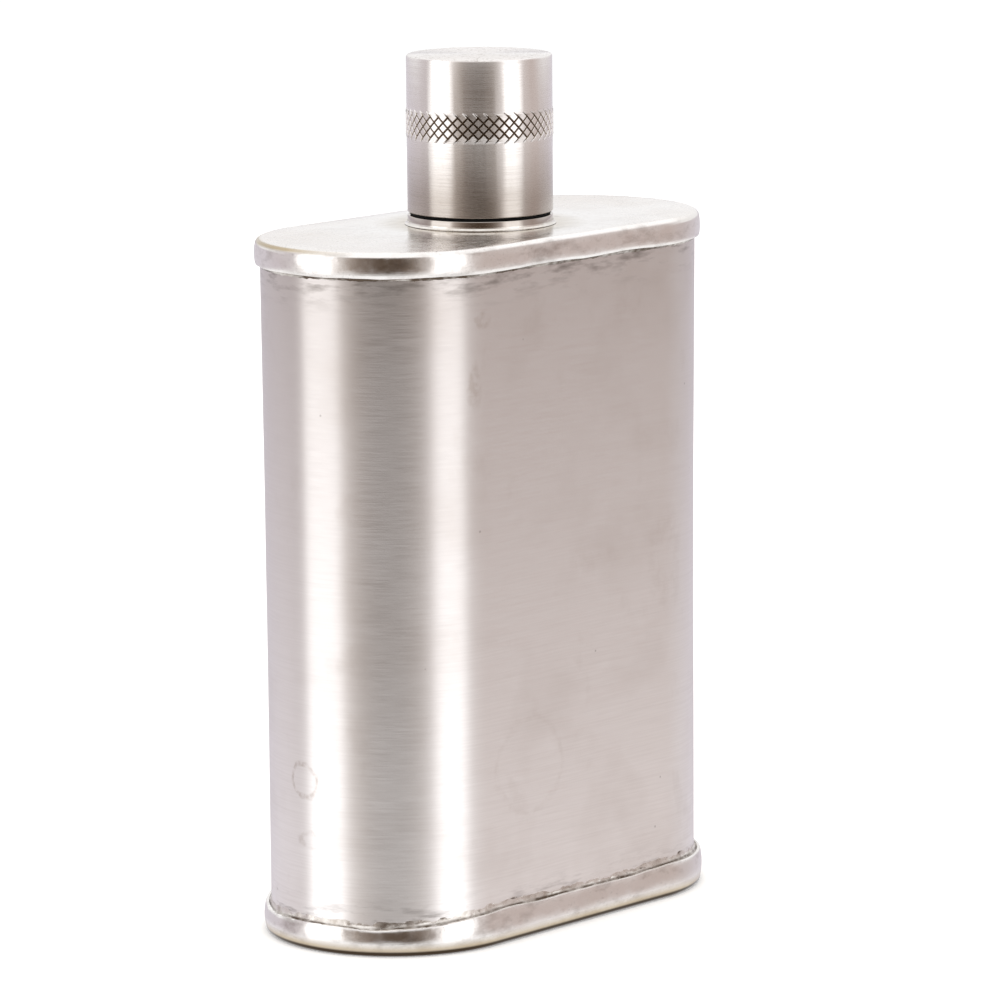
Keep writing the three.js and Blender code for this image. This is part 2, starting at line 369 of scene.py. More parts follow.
def makeBottomCap():
    piece = makeCup("bottom_end_cap_pressing", bottomCup, bottomLow.z, lipMiddle)
    trimEdge(piece, 2 * mm)
    enter(piece)
    bpy.ops.mesh.select_all(action="SELECT")
    bpy.ops.transform.translate(value=(footShift, 0, 0))
    leave()
    return piece


# solder along the seams
bead = {
    "foot": 0.03 * mm,  # thickness where it feathers out
    "overlap": 0.6 * mm,  # how far it starts inside the skirt's edge
    "endSteps": 200,
    "flatSteps": 130,
    "ragged": 1.3 * mm,
    "raggedSize": 3.6 * mm,
    "lumps": 0.2 * mm,
    "lumpSize": 1.3 * mm,
}


def makeBead(name, edgeLevel, up, reach, gap, root):
    foot = bead["foot"]
    reach += bead["overlap"]
    start = edgeLevel - up * bead["overlap"]
    front = []
    for step in range(8):
        share = step / 7
        front.append((gap + foot + (root - foot) * (1 - share) ** 1.7, start + up * reach * share))
    profile = [(gap, start), *front, (gap, start + up * reach), (gap, start)]
    piece = swept(name, profile, bead["endSteps"], bead["flatSteps"])
    far = start + up * 0.6 * reach
    group = makeGroup(piece, "edge", lambda vert: (vert.co.z - far) * up > 0)
    ruffle(piece, clouds(name + "Ragged", bead["raggedSize"], 3), bead["ragged"], "Z", group)
    face = endRadius + gap + 0.5 * foot

    def proud(vert):
        across = max(0, abs(vert.co.x) - half)
        return math.hypot(across, vert.co.y) > face

    group = makeGroup(piece, "face", proud)
    ruffle(piece, clouds(name + "Lumps", bead["lumpSize"]), bead["lumps"], group=group)
    return piece


# side seam: the solder in the sleeve's lap
sideSeam = {
    "width": 1.1 * mm,
    "depth": 0.75 * mm,
    "sink": 0.06 * mm,
    "film": 0.12 * mm,
    "levels": 180,
    "wander": 0.12 * mm,
    "wanderSize": 2.5 * mm,
}


def makeSideSeam():
    lapHalf = sleeve["lap"] / endRadius / 2
    low, high = sleeveLow.z, sleeveHigh.z

    def onEnd(along, depth):
        angle = -lapHalf + along / endRadius
        radius = endRadius - depth
        return (half + radius * math.cos(angle), radius * math.sin(angle), low)

    width, depth, sink = sideSeam["width"], sideSeam["depth"], sideSeam["sink"]
    filmTop = sleeve["sheet"] + 0.05 * mm
    filmLow = filmTop + sideSeam["film"]
    outline = [onEnd(-width, sink), onEnd(-width / 2, sink), onEnd(-0.05 * mm, sink)]
    outline += [onEnd(along, filmTop)
                for along in (-0.05 * mm, 1.2 * mm, 2.4 * mm, 3.6 * mm, 4.8 * mm)]
    outline += [onEnd(along, filmLow)
                for along in (4.8 * mm, 3.6 * mm, 2.4 * mm, 1.2 * mm, 0)]
    outline += [onEnd(-width / 2, depth * 0.6), onEnd(-width, sink)]
    piece = drawLine("side_seam_line", outline)
    enter(piece)
    bpy.ops.mesh.select_all(action="SELECT")
    bpy.ops.mesh.remove_doubles(threshold=weld)
    bpy.ops.mesh.select_all(action="SELECT")
    bpy.ops.mesh.edge_face_add()
    bpy.ops.mesh.extrude_region_move(TRANSFORM_OT_translate={"value": (0, 0, high - low)})
    closeUp()
    pick(piece, "EDGE", lambda edge: edge.calc_length() > 0.9 * (high - low))
    bpy.ops.mesh.subdivide(number_cuts=sideSeam["levels"] - 1)
    leave()
    outer = endRadius - 2 * sink
    group = makeGroup(piece, "face", lambda vert: math.hypot(vert.co.x - half, vert.co.y) > outer)
    texture = clouds("sideSeamWander", sideSeam["wanderSize"])
    ruffle(piece, texture, -sideSeam["wander"], "X", group)
    return piece


# turned neck, its thread, and the cap that screws onto it
neckLow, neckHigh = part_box("threaded_neck")
capLow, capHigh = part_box("screw_cap")
ringLow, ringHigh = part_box("sealing_ring")
filletLow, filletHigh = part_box("neck_solder")

thread = {
    "pitch": 2.5 * mm,
    "root": 8.9 * mm,
    "crest": 9.7 * mm,
    "flat": 0.7 * mm,  # width of the crest
    "flank": math.radians(29),
    "clearance": 0.2 * mm,
    "start": 122.5 * mm,  # height of the coil's middle at +X, the same for both threads
    "turns": 5,
    "turnSteps": 96,
    "runIn": 0.9 * mm,  # height over which the thread starts and fades
}


# a coil with the thread's own section, grown by some clearance when it is to cut the cap
def makeCoil(name, inner, outer, clearance):
    slope = math.tan(thread["flank"])
    grow = clearance / math.cos(thread["flank"])

    def corner(radius, side):
        width = thread["flat"] / 2 + (thread["crest"] - radius) * slope + grow
        return (radius, 0, thread["start"] + side * width)

    loop = [corner(inner, -1), corner(outer, -1), corner(outer, 1), corner(inner, 1),
            corner(inner, -1)]
    piece = drawLine(name, loop)
    enter(piece)
    bpy.ops.mesh.select_all(action="SELECT")
    bpy.ops.mesh.remove_doubles(threshold=weld)
    leave()
    applyModifier(piece, "SCREW", axis="Z", angle=fullTurn, screw_offset=thread["pitch"],
                  iterations=thread["turns"], steps=thread["turnSteps"],
                  render_steps=thread["turnSteps"])
    middle = thread["start"] + thread["pitch"] * thread["turns"] / 2
    enter(piece)
    for side in (-1, 1):
        pick(piece, "EDGE", lambda edge: edge.is_boundary
             and (edge.verts[0].co.z - middle) * side > 0)
        bpy.ops.mesh.edge_face_add()
    closeUp()
    leave()
    return piece


def combine(piece, other, operation):
    applyModifier(piece, "BOOLEAN", operation=operation, object=other, solver="EXACT")
    bpy.data.objects.remove(other)


neck = {
    "bore": 6.75 * mm,
    "spigot": 9.85 * mm,
    "seat": 121.55 * mm,
    "collarTop": 123.05 * mm,
    "collarLip": 123.2 * mm,  # stands up round the sealing ring
    "edge": 0.3 * mm,
    "steps": 176,
}


def makeNeck():
    bore, root, collar, edge = neck["bore"], thread["root"], neckHigh.x, neck["edge"]
    low, seat, top, high = neckLow.z, neck["seat"], neck["collarTop"], neckHigh.z
    lip = neck["collarLip"]
    profile = [
        (bore, low), (neck["spigot"] - edge, low), (neck["spigot"], low + edge),
        (neck["spigot"], seat), (collar, seat),
        (collar, lip - 0.2 * mm), (collar - 0.06 * mm, lip - 0.06 * mm), (collar - 0.2 * mm, lip),
        (collar - 0.32 * mm, lip - 0.02 * mm), (collar - 0.4 * mm, top),
        (root + edge, top), (root, top + edge),
        (root, high - edge), (root - edge, high), (bore + edge, high), (bore, high - edge),
        (bore, low)]
    piece = turned("threaded_neck_turned", profile, neck["steps"])
    coil = makeCoil("neck_thread_coil", root - 0.3 * mm, thread["crest"], 0)
    low, high, runIn = top + 1 * mm, high - 0.7 * mm, thread["runIn"]
    reach = thread["crest"] + 0.1 * mm
    limit = turned("thread_limit", [
        (0, low), (root - 0.1 * mm, low), (reach, low + runIn),
        (reach, high - runIn), (root - 0.1 * mm, high), (0, high)], neck["steps"])
    combine(coil, limit, "INTERSECT")
    combine(piece, coil, "UNION")
    return piece


fillet = {"leg": 0.5 * mm, "height": 0.62 * mm, "foot": 0.04 * mm, "steps": 220, "lumps": 0.05 * mm}


def makeNeckSolder():
    inner, low = neckHigh.x + 0.03 * mm, filletLow.z
    foot, leg, height = fillet["foot"], fillet["leg"], fillet["height"]
    profile = [(inner, low), (inner + leg, low)]
    for step in range(8):
        angle = math.pi / 2 * step / 7
        profile.append((inner + foot + (leg - foot) * (1 - math.sin(angle)),
                        low + foot + (height - foot) * (1 - math.cos(angle))))
    profile += [(inner, low + height), (inner, low)]
    piece = turned("neck_solder_fillet", profile, fillet["steps"])
    skin = 0.02 * mm
    group = makeGroup(piece, "face", lambda vert: vert.co.z > low + skin
                      and math.hypot(vert.co.x, vert.co.y) > inner + skin)
    ruffle(piece, clouds("filletLumps", 4 * mm), fillet["lumps"], group=group)
    return piece


ring = {"lip": 0.6 * mm, "thickness": 0.5 * mm, "edge": 0.12 * mm, "steps": 128}


def makeRing():
    inner, outer, edge = 10 * mm, ringHigh.x - 0.12 * mm, ring["edge"]
    lip, low, high = inner + ring["lip"], ringLow.z, ringHigh.z
    shelf = low + ring["thickness"]
    return turned("sealing_ring_moulded", [
        (inner, low), (outer - edge, low), (outer, low + edge), (outer, shelf - edge),
        (outer - edge, shelf), (lip, shelf), (lip, high - edge), (lip - edge, high),
        (inner + edge, high), (inner, high - edge), (inner, low)], ring["steps"])


knurl = {
    "grooves": 44,  # in each hand, all the way round
    "row": 1.85 * mm,  # height of one diamond
    "rows": 2,
    "low": 13.7 * mm,  # lowest crossings, above the cap's foot
    "tail": 0.9 * mm,  # how far one hand of grooves runs out past the crossings
    "groove": 0.4 * mm,  # width
    "depth": 0.2 * mm,
}
cap = {
    "wall": 12.7 * mm,  # outer radius, plain part
    "topEdge": 0.35 * mm,
    "mouthEdge": 0.15 * mm,
    "seat": 10.7 * mm,  # radius of the counterbore that holds the ring's lip
    "seatDepth": 1.3 * mm,
    "minor": 9.1 * mm,
    "threadTop": 8.3 * mm,
    "relief": 10 * mm,
    "boreDepth": 21 * mm,
    "drillPoint": 3.5 * mm,
}


# pulls the selected round edge loop along a line of (radius, height) points about Z
def pullRing(radius, height, points):
    for newRadius, newHeight in points:
        step = (0, 0, newHeight - height)
        bpy.ops.mesh.extrude_region_move(TRANSFORM_OT_translate={"value": step})
        ratio = newRadius / radius
        bpy.ops.transform.resize(value=(ratio, ratio, 1), center_override=(0, 0, newHeight))
        radius, height = newRadius, newHeight


def roundOff(piece, radius, group):
    applyModifier(piece, "CAST", cast_type="CYLINDER", factor=1, size=radius, use_z=False,
                  use_radius_as_size=False, vertex_group=group)


def makeKnurl(name):
    count, row = knurl["grooves"], knurl["row"]
    low = capLow.z + knurl["low"]
    high = low + row * knurl["rows"]
    bpy.ops.object.select_all(action="DESELECT")
    bpy.ops.mesh.primitive_circle_add(vertices=count, radius=cap["wall"], location=(0, 0, low))
    piece = bpy.context.active_object
    piece.name = name
    bpy.ops.object.transform_apply(location=True, rotation=False, scale=False)
    enter(piece)
    bpy.ops.mesh.select_all(action="SELECT")
    for _ in range(knurl["rows"]):
        bpy.ops.mesh.extrude_region_move(TRANSFORM_OT_translate={"value": (0, 0, row)})
    pick(piece, "FACE", lambda face: True)
    bpy.ops.mesh.poke()
    lean = knurl["tail"] / row * fullTurn / count
    for level, side in ((low, -1), (high, 1)):
        pick(piece, "EDGE", lambda edge: all(abs(vert.co.z - level) < near for vert in edge.verts))
        away = (0, 0, side * knurl["tail"])
        bpy.ops.mesh.extrude_region_move(TRANSFORM_OT_translate={"value": away})
        bpy.ops.transform.rotate(value=lean, orient_axis="Z", center_override=(0, 0, 0))

    # only the slanting edges stay, and they become the grooves
    def square(edge):
        first, second = (vert.co for vert in edge.verts)
        level = abs(first.z - second.z) < near
        upright = math.hypot(first.x - second.x, first.y - second.y) < near
        return not edge.is_boundary and (level or upright)

    pick(piece, "EDGE", square)
    bpy.ops.mesh.dissolve_edges(use_verts=False)
    pick(piece, "FACE", lambda face: True)
    bpy.ops.mesh.inset(thickness=knurl["groove"] / 2, use_individual=True)
    bpy.ops.mesh.subdivide(number_cuts=2)
    bpy.ops.mesh.select_mode(type="VERT")
    leave()
    pads = piece.vertex_groups.new(name="pads")
    grooves = piece.vertex_groups.new(name="grooves")
    enter(piece)
    piece.vertex_groups.active_index = pads.index
    bpy.ops.object.vertex_group_assign()
    bpy.ops.mesh.select_all(action="INVERT")
    piece.vertex_groups.active_index = grooves.index
    bpy.ops.object.vertex_group_assign()
    leave()
    roundOff(piece, capHigh.x, "pads")
    fade = knurl["tail"] * 0.45
    ends = makeGroup(piece, "ends", lambda vert: not low - fade < vert.co.z < high + fade)
    roundOff(piece, cap["wall"] + 0.015 * mm, ends)
    roundOff(piece, cap["wall"] - knurl["depth"], "grooves")
    enter(piece)
    pick(piece, "EDGE", lambda edge: edge.is_boundary)
    bpy.ops.mesh.subdivide(number_cuts=3)
    leave()
    rims = makeGroup(piece, "rims", lambda vert: vert.is_boundary)
    roundOff(piece, cap["wall"], rims)
    return piece, low - knurl["tail"], high + knurl["tail"]


def makeCap():
    piece, low, high = makeKnurl("screw_cap_turned")
    foot, top, wall = capLow.z, capHigh.z, cap["wall"]
    inner = [(wall, foot + cap["mouthEdge"]), (wall - cap["mouthEdge"], foot),
             (cap["seat"] + 0.1 * mm, foot), (cap["seat"], foot + 0.1 * mm),
             (cap["seat"], foot + cap["seatDepth"]), (cap["minor"], foot + cap["seatDepth"]),
             (cap["minor"], foot + cap["threadTop"]),
             (cap["relief"], foot + cap["threadTop"] + 0.4 * mm),
             (cap["relief"], foot + cap["boreDepth"]),
             (0.02 * mm, foot + cap["boreDepth"] + cap["drillPoint"])]
    edge = cap["topEdge"]
    outer = [(wall, top - edge), (wall - 0.3 * edge, top - 0.3 * edge), (wall - edge, top),
             (0.02 * mm, top)]
    enter(piece)
    middle = (low + high) / 2
    for side, height, points in ((-1, low, inner), (1, high, outer)):
        pick(piece, "EDGE", lambda item: item.is_boundary
             and (item.verts[0].co.z - middle) * side > 0)
        pullRing(wall, height, points)
        bpy.ops.mesh.edge_face_add()
    closeUp()
    leave()
    clearance = thread["clearance"]
    coil = makeCoil("cap_thread_coil", cap["minor"] - 0.3 * mm, thread["crest"] + clearance,
                    clearance)
    combine(piece, coil, "DIFFERENCE")
    return piece


# materials
def linear(code):
    channels = [int(code[place:place + 2], 16) / 255 for place in (0, 2, 4)]
    return (*[value / 12.92 if value <= 0.04045 else ((value + 0.055) / 1.055) ** 2.4
              for value in channels], 1)


# adds a node; links gives each input a value or another node's output
def add(tree, kind, links=None, stops=None, **settings):
    item = tree.nodes.new("ShaderNode" + kind)
    for name, value in settings.items():
        setattr(item, name, value)
    for socket, value in (links or {}).items():
        if isinstance(value, bpy.types.NodeSocket):
            tree.links.new(value, item.inputs[socket])
        else:
            item.inputs[socket].default_value = value
    if stops:
        ramp = item.color_ramp
        while len(ramp.elements) < len(stops):
            ramp.elements.new(1)
        for element, (place, colour) in zip(ramp.elements, stops):
            element.position = place
            element.color = colour
    return item


def grey(value):
    return (value, value, value, 1)


def startMaterial(name):
    material = bpy.data.materials.new(name)
    material.use_nodes = True
    material.node_tree.nodes.clear()
    return material, material.node_tree


# object coordinates in millimetres, stretched by the given factors
def millimetres(tree, across=1, deep=1, upright=1, shift=(0, 0, 0)):
    place = add(tree, "TexCoord").outputs["Object"]
    scale = (across / mm, deep / mm, upright / mm)
    return add(tree, "Mapping", {"Vector": place, "Scale": scale, "Location": shift}).outputs[0]


def noise(tree, place, scale, detail=3, roughness=0.5):
    return add(tree, "TexNoise", {"Vector": place, "Scale": scale, "Detail": detail,
                                  "Roughness": roughness}).outputs[0]


def ramp(tree, value, *stops):
    return add(tree, "ValToRGB", {"Fac": value}, stops=[
        (place, grey(shade) if isinstance(shade, (int, float)) else shade)
        for place, shade in stops]).outputs[0]


def multiply(tree, first, second):
    return add(tree, "Math", {0: first, 1: second}, operation="MULTIPLY").outputs[0]


def mix(tree, factor, first, second):
    item = add(tree, "Mix", {"Factor": factor}, data_type="RGBA")
    for socket, value in ((6, first), (7, second)):
        if isinstance(value, bpy.types.NodeSocket):
            tree.links.new(value, item.inputs[socket])
        else:
            item.inputs[socket].default_value = value
    return item.outputs[2]


def between(tree, value, low, high, fromValue=0, toValue=1):
    return add(tree, "MapRange", {"Value": value, "From Min": low, "From Max": high,
                                  "To Min": fromValue, "To Max": toValue}).outputs[0]


def finishMetal(tree, colour, roughness, height, distance, grain=0, tangent=None):
    bump = add(tree, "Bump", {"Height": height, "Distance": distance, "Strength": 1})
    shader = add(tree, "BsdfPrincipled", {"Base Color": colour, "Metallic": 1,
                                          "Roughness": roughness, "Normal": bump.outputs[0]})
    if tangent:
        shader.inputs["Anisotropic"].default_value = grain
        shader.inputs["Anisotropic Rotation"].default_value = 0.25  # spreads light across the lines
        tree.links.new(tangent, shader.inputs["Tangent"])
    out = add(tree, "OutputMaterial")
    tree.links.new(shader.outputs[0], out.inputs[0])


brushed = {
    "metal": linear("f2eeed"),
    # dull: the colour of the brush streaks, and of the painted shade towards the top of the sleeve
    "dull": linear("ccc5c2"),
    "stain": linear("a08e80"),
    "soot": linear("4e4238"),
    "roughness": 0.33,
    "grain": 0.82,
    "line": 0.3,  # mm between brush lines, coarser than real ones so that they show
    "length": 12,  # mm
    "groove": 0.003 * mm,
}
# old drops and finger marks: middle, how much taller than wide, radius and width of the ring in mm,
# and strength
marks = [((-45.4, 1.3, 29.6), 1, 3, 1.1, 0.5), ((-45.4, -0.2, 19.3), 0.5, 2.4, 2.2, 0.28),
         ((-24.5, -22.2, 109), 1, 1.3, 1.5, 0.3), ((-26.2, -22, 98), 2.6, 0.6, 2.6, 0.3),
         ((-13, -22.2, 30), 1, 8.4, 1.5, 0.1), ((24, -22.2, 61), 2, 3, 5, 0.1),
         ((13, 22.2, 70), 1, 5, 1.4, 0.3), ((-20, 22.2, 34), 0.6, 6, 4, 0.2)]


# brushed tinplate: lines run round the body, so highlights smear up and down it
def brushedMetal():
    material, tree = startMaterial("brushedTinplate")
    line, length = brushed["line"], brushed["length"]
    lines = noise(tree, millimetres(tree, 1 / length, 1 / length, 1 / line), 1, 2)
    fine = noise(tree, millimetres(tree, 2.4 / length, 2.4 / length, 2.2 / line, (7, 3, 1)), 1, 1)
    place = millimetres(tree)
    height = add(tree, "SeparateXYZ", {0: place}).outputs[2]
    # painted shade: the sleeve is drawn duller towards the top and brighter towards the foot,
    # standing in for light bounced up from the floor
    wearAndShade = between(tree, height, 5, 118, 0, 1)
    colour = mix(tree, wearAndShade, brushed["metal"], brushed["dull"])
    streaks = ramp(tree, lines, (0.35, 0), (0.75, 0.2))
    colour = mix(tree, streaks, colour, brushed["dull"])
    cloudy = noise(tree, place, 0.05, 3, 0.55)
    colour = mix(tree, ramp(tree, cloudy, (0.5, 0), (0.8, 0.2)), colour, brushed["stain"])
    blots = noise(tree, millimetres(tree, 1, 1, 0.7, (31, 5, 2)), 0.11, 4, 0.6)
    colour = mix(tree, ramp(tree, blots, (0.6, 0), (0.72, 0.1)), colour, brushed["stain"])
    patchy = ramp(tree, noise(tree, place, 0.5, 3, 0.6), (0.4, 0.1), (0.62, 1))
    wobble = add(tree, "TexNoise", {"Vector": place, "Scale": 0.25, "Detail": 3}).outputs[1]
    wobbly = add(tree, "VectorMath", {0: wobble, 1: (2.6, 2.6, 2.6), 2: place},
                 operation="MULTIPLY_ADD").outputs[0]
    wobbly = add(tree, "VectorMath", {0: wobbly, 1: (1.3, 1.3, 1.3)},
                 operation="SUBTRACT").outputs[0]
    for centre, tall, radius, width, strength in marks:
        apart = add(tree, "VectorMath", {0: wobbly, 1: centre}, operation="SUBTRACT").outputs[0]
        apart = add(tree, "VectorMath", {0: apart, 1: (1, 1, 1 / tall)},
                    operation="MULTIPLY").outputs[0]
        away = add(tree, "VectorMath", {0: apart}, operation="LENGTH").outputs[1]
        off = add(tree, "Math", {0: away, 1: radius}, operation="SUBTRACT").outputs[0]
        off = add(tree, "Math", {0: off}, operation="ABSOLUTE").outputs[0]
        mark = between(tree, off, width / 2, width / 6, 0, strength)
        colour = mix(tree, multiply(tree, mark, patchy), colour, brushed["stain"])
    # soot and flux creep a few millimetres out from both soldered seams, along the brush lines
    nearTop = between(tree, height, 108.5, 116.5)
    nearFoot = between(tree, height, 12, 6)
    near = add(tree, "Math", {0: nearTop, 1: nearFoot}, operation="MAXIMUM").outputs[0]
    near = add(tree, "Math", {0: near, 1: 2}, operation="POWER").outputs[0]
    creep = ramp(tree, noise(tree, millimetres(tree, 0.3, 0.3, 1.3), 0.5, 4, 0.6),
                 (0.5, 0), (0.72, 0.7))
    colour = mix(tree, multiply(tree, near, creep), colour, brushed["soot"])
    specks = add(tree, "TexVoronoi", {"Vector": place, "Scale": 0.13},
                 feature="F1").outputs["Distance"]
    speck = ramp(tree, specks, (0.0, 0.4), (0.02, 0.3), (0.035, 0))
    colour = mix(tree, speck, colour, brushed["soot"])
    rough = between(tree, fine, 0.3, 0.7, brushed["roughness"] - 0.04, brushed["roughness"] + 0.05)
    bumps = add(tree, "Math", {0: lines, 1: fine}, operation="ADD").outputs[0]
    tangent = add(tree, "Tangent", direction_type="RADIAL", axis="Z").outputs[0]
    finishMetal(tree, colour, rough, bumps, brushed["groove"], brushed["grain"], tangent)
    return material


pressed = {
    "metal": linear("edeae8"),
    "warm": linear("dcd4ce"),
    "smoke": linear("7a6d62"),
    "pit": linear("3a3028"),
    "foot": linear("ac9670"),  # tarnish just above the ground
    "straw": linear("a38f6a"),
    "grimeAndShade": linear("35281c"),  # painted shade: the dark line where it stands on the floor, and the dark ring round the neck
    "roughness": 0.1,
    "grit": 0.4,  # mm
    "ripple": 0.035 * mm,
}


# pressed tinplate, wiped with hot solder: half bright, with smoky heat stains and pits
def pressedMetal():
    material, tree = startMaterial("pressedTinplate")
    place = millimetres(tree)
    parts = add(tree, "SeparateXYZ", {0: place}).outputs
    colour = mix(tree, ramp(tree, noise(tree, place, 0.07, 3), (0.45, 0), (0.75, 0.55)),
                 pressed["metal"], pressed["warm"])
    # smoke is thickest on the skirts, which the flame licked
    onTop = between(tree, parts[2], 121, 121.4, 1, 0.15)
    smoke = ramp(tree, noise(tree, millimetres(tree, 0.45, 0.45, 1.1, (4, 9, 0)), 0.3, 4, 0.62),
                 (0.5, 0), (0.76, 0.5))
    colour = mix(tree, multiply(tree, smoke, onTop), colour, pressed["smoke"])
    pits = noise(tree, place, 1 / pressed["grit"], 2, 0.7)
    where = ramp(tree, noise(tree, place, 0.12, 2), (0.38, 0.1), (0.54, 1))
    pit = multiply(tree, ramp(tree, pits, (0.62, 0), (0.69, 1)), where)
    pit = multiply(tree, pit, between(tree, parts[2], 121.3, 121.45, 0.22, 0.6))
    colour = mix(tree, pit, colour, pressed["pit"])
    colour = mix(tree, between(tree, parts[2], 2.3, 1.2, 0, 0.7), colour, pressed["foot"])
    # painted shadow: a dark line on the rounding under the foot where it meets the floor, and only
    # thinly on the base that it frames
    beyond = add(tree, "Math", {0: parts[0]}, operation="ABSOLUTE").outputs[0]
    beyond = add(tree, "Math", {0: beyond, 1: half / mm}, operation="SUBTRACT").outputs[0]
    beyond = add(tree, "Math", {0: beyond, 1: 0}, operation="MAXIMUM").outputs[0]
    outwards = add(tree, "CombineXYZ", {0: beyond, 1: parts[1]}).outputs[0]
    outwards = add(tree, "VectorMath", {0: outwards}, operation="LENGTH").outputs[1]
    thick = between(tree, outwards, endRadius / mm - 2.5, endRadius / mm - 0.2, 0.12, 1)
    footShadow = multiply(tree, between(tree, parts[2], 1.1, 0.75, 0, 0.97), thick)
    colour = mix(tree, footShadow, colour, pressed["grimeAndShade"])
    # a straw tint lies round the rounded shoulder at the -X end
    rim = multiply(tree, between(tree, parts[2], 120.7, 121.1),
                   between(tree, parts[2], 121.5, 121.38))
    rim = multiply(tree, rim, between(tree, parts[0], -30, -40))
    rim = multiply(tree, rim, between(tree, parts[1], -11, 3, 0, 0.85))
    colour = mix(tree, rim, colour, pressed["straw"])
    scratches = noise(tree, millimetres(tree, 0.2, 0.2, 5), 1, 2)
    # the middle of the top was wiped bright when the neck was soldered in
    flat = add(tree, "CombineXYZ", {0: parts[0], 1: parts[1]}).outputs[0]
    radius = add(tree, "VectorMath", {0: flat}, operation="LENGTH").outputs[1]
    wearAndShade = between(tree, noise(tree, place, 0.5, 4, 0.6), 0.3, 0.7, 0, 0.16)
    edge = between(tree, radius, 17, 30, -0.05, 0.1)
    onPlate = between(tree, parts[2], 121.3, 121.45)
    tint = multiply(tree, between(tree, radius, 19, 14, 0, 0.6), onPlate)
    colour = mix(tree, tint, colour, pressed["straw"])
    # painted shade: a broken dark ring lies round the neck on the top plate, standing in for the
    # shadow edge below the collar
    neckRingShade = multiply(tree, between(tree, radius, 14.2, 15.6), between(tree, radius, 17.2, 15.8))
    neckRingShade = multiply(tree, multiply(tree, neckRingShade, onPlate), between(tree, smoke, 0.05, 0.5, 0, 0.5))
    colour = mix(tree, neckRingShade, colour, pressed["grimeAndShade"])
    rough = add(tree, "Math", {0: wearAndShade, 1: pressed["roughness"]}, operation="ADD").outputs[0]
    rough = add(tree, "Math", {0: rough, 1: multiply(tree, edge, onPlate)},
                operation="ADD").outputs[0]
    height = add(tree, "Math", {0: noise(tree, place, 0.35, 3),
                                1: multiply(tree, scratches, 0.12)}, operation="ADD").outputs[0]
    finishMetal(tree, colour, rough, height, pressed["ripple"])
    return material


turnedSteel = {
    "metal": linear("ebe7e5"),
    "dark": linear("cbc3bd"),
    # dark brown: specks on the top, the darker part below the knurl, and painted shade in the
    # knurl's grooves
    "grimeAndShade": linear("7a6853"),
    "roughness": 0.25,
    "grain": 0.78,
    "line": 0.17,  # mm between tool lines, drawn coarser than real ones
    "groove": 0.0018 * mm,
    "knurlMiddle": 139.25,  # mm
}


# turned steel: fine tool lines round the axis, painted shade in the knurl's grooves
def turnedMetal():
    material, tree = startMaterial("turnedSteel")
    place = millimetres(tree)
    parts = add(tree, "SeparateXYZ", {0: place}).outputs
    flat = add(tree, "CombineXYZ", {0: parts[0], 1: parts[1]}).outputs[0]
    radius = add(tree, "VectorMath", {0: flat}, operation="LENGTH").outputs[1]
    # lines follow height on the walls and radius on the flats, so both go into one pattern
    along = add(tree, "Math", {0: parts[2], 1: radius}, operation="ADD").outputs[0]
    turn = add(tree, "VectorMath", {0: flat, 1: (0.08, 0.08, 0.08)},
               operation="MULTIPLY").outputs[0]
    turnParts = add(tree, "SeparateXYZ", {0: turn}).outputs
    lineAt = multiply(tree, along, 1 / turnedSteel["line"])
    lined = add(tree, "CombineXYZ", {0: turnParts[0], 1: turnParts[1], 2: lineAt}).outputs[0]
    lines = noise(tree, lined, 1, 2)
    colour = mix(tree, ramp(tree, lines, (0.35, 0), (0.75, 0.45)),
                 turnedSteel["metal"], turnedSteel["dark"])
    freckles = noise(tree, place, 1.3, 3, 0.7)
    onTop = between(tree, parts[2], 150.8, 150.95)
    freckle = multiply(tree, ramp(tree, freckles, (0.56, 0), (0.66, 0.6)),
                       between(tree, onTop, 0, 1, 0.1, 1))
    colour = mix(tree, freckle, colour, turnedSteel["grimeAndShade"])
    # darker below the knurl
    colour = mix(tree, between(tree, parts[2], 137, 127, 0, 0.5), colour, turnedSteel["grimeAndShade"])
    # the diamonds stand prouder in the middle of the knurl than where its grooves run out
    level = add(tree, "Math", {0: parts[2], 1: turnedSteel["knurlMiddle"]},
                operation="SUBTRACT").outputs[0]
    level = add(tree, "Math", {0: level}, operation="ABSOLUTE").outputs[0]
    sunk = add(tree, "Math", {0: between(tree, level, 2.2, 2.4, 12.78, 12.7), 1: radius},
               operation="SUBTRACT").outputs[0]
    deep = between(tree, sunk, 0, 0.09)
    inBand = between(tree, level, 2.95, 2.65)
    # painted shade: the knurl's grooves are darkened by how far they sink below the diamonds
    colour = mix(tree, multiply(tree, multiply(tree, deep, inBand), 0.9),
                 colour, turnedSteel["grimeAndShade"])
    rough = between(tree, lines, 0.3, 0.7,
                    turnedSteel["roughness"] - 0.03, turnedSteel["roughness"] + 0.05)
    # the neck's collar was left bright
    rough = multiply(tree, rough, between(tree, parts[2], 123.2, 123.4, 0.4, 1))
    tangent = add(tree, "Tangent", direction_type="RADIAL", axis="Z").outputs[0]
    finishMetal(tree, colour, rough, lines, turnedSteel["groove"], turnedSteel["grain"], tangent)
    return material


seamSolder = {
    "name": "seamSolder",
    "bright": linear("e2ddd8"),
    "dull": linear("c0b8b0"),
    # brown: flux in the hollows, and the painted shade in the crevice by the skirts
    "flux": linear("4e3f32"),
    "fluxFrom": 0.6,
    "roughness": 0.2,
    "lump": 1.1,  # mm
    "height": 0.06 * mm,
}
# wiped smooth with a hot iron
neckSolder = {**seamSolder, "name": "wipedSolder", "fluxFrom": 0.7, "roughness": 0.12, "lump": 2.5,
              "height": 0.02 * mm, "dull": linear("d2cbc3")}
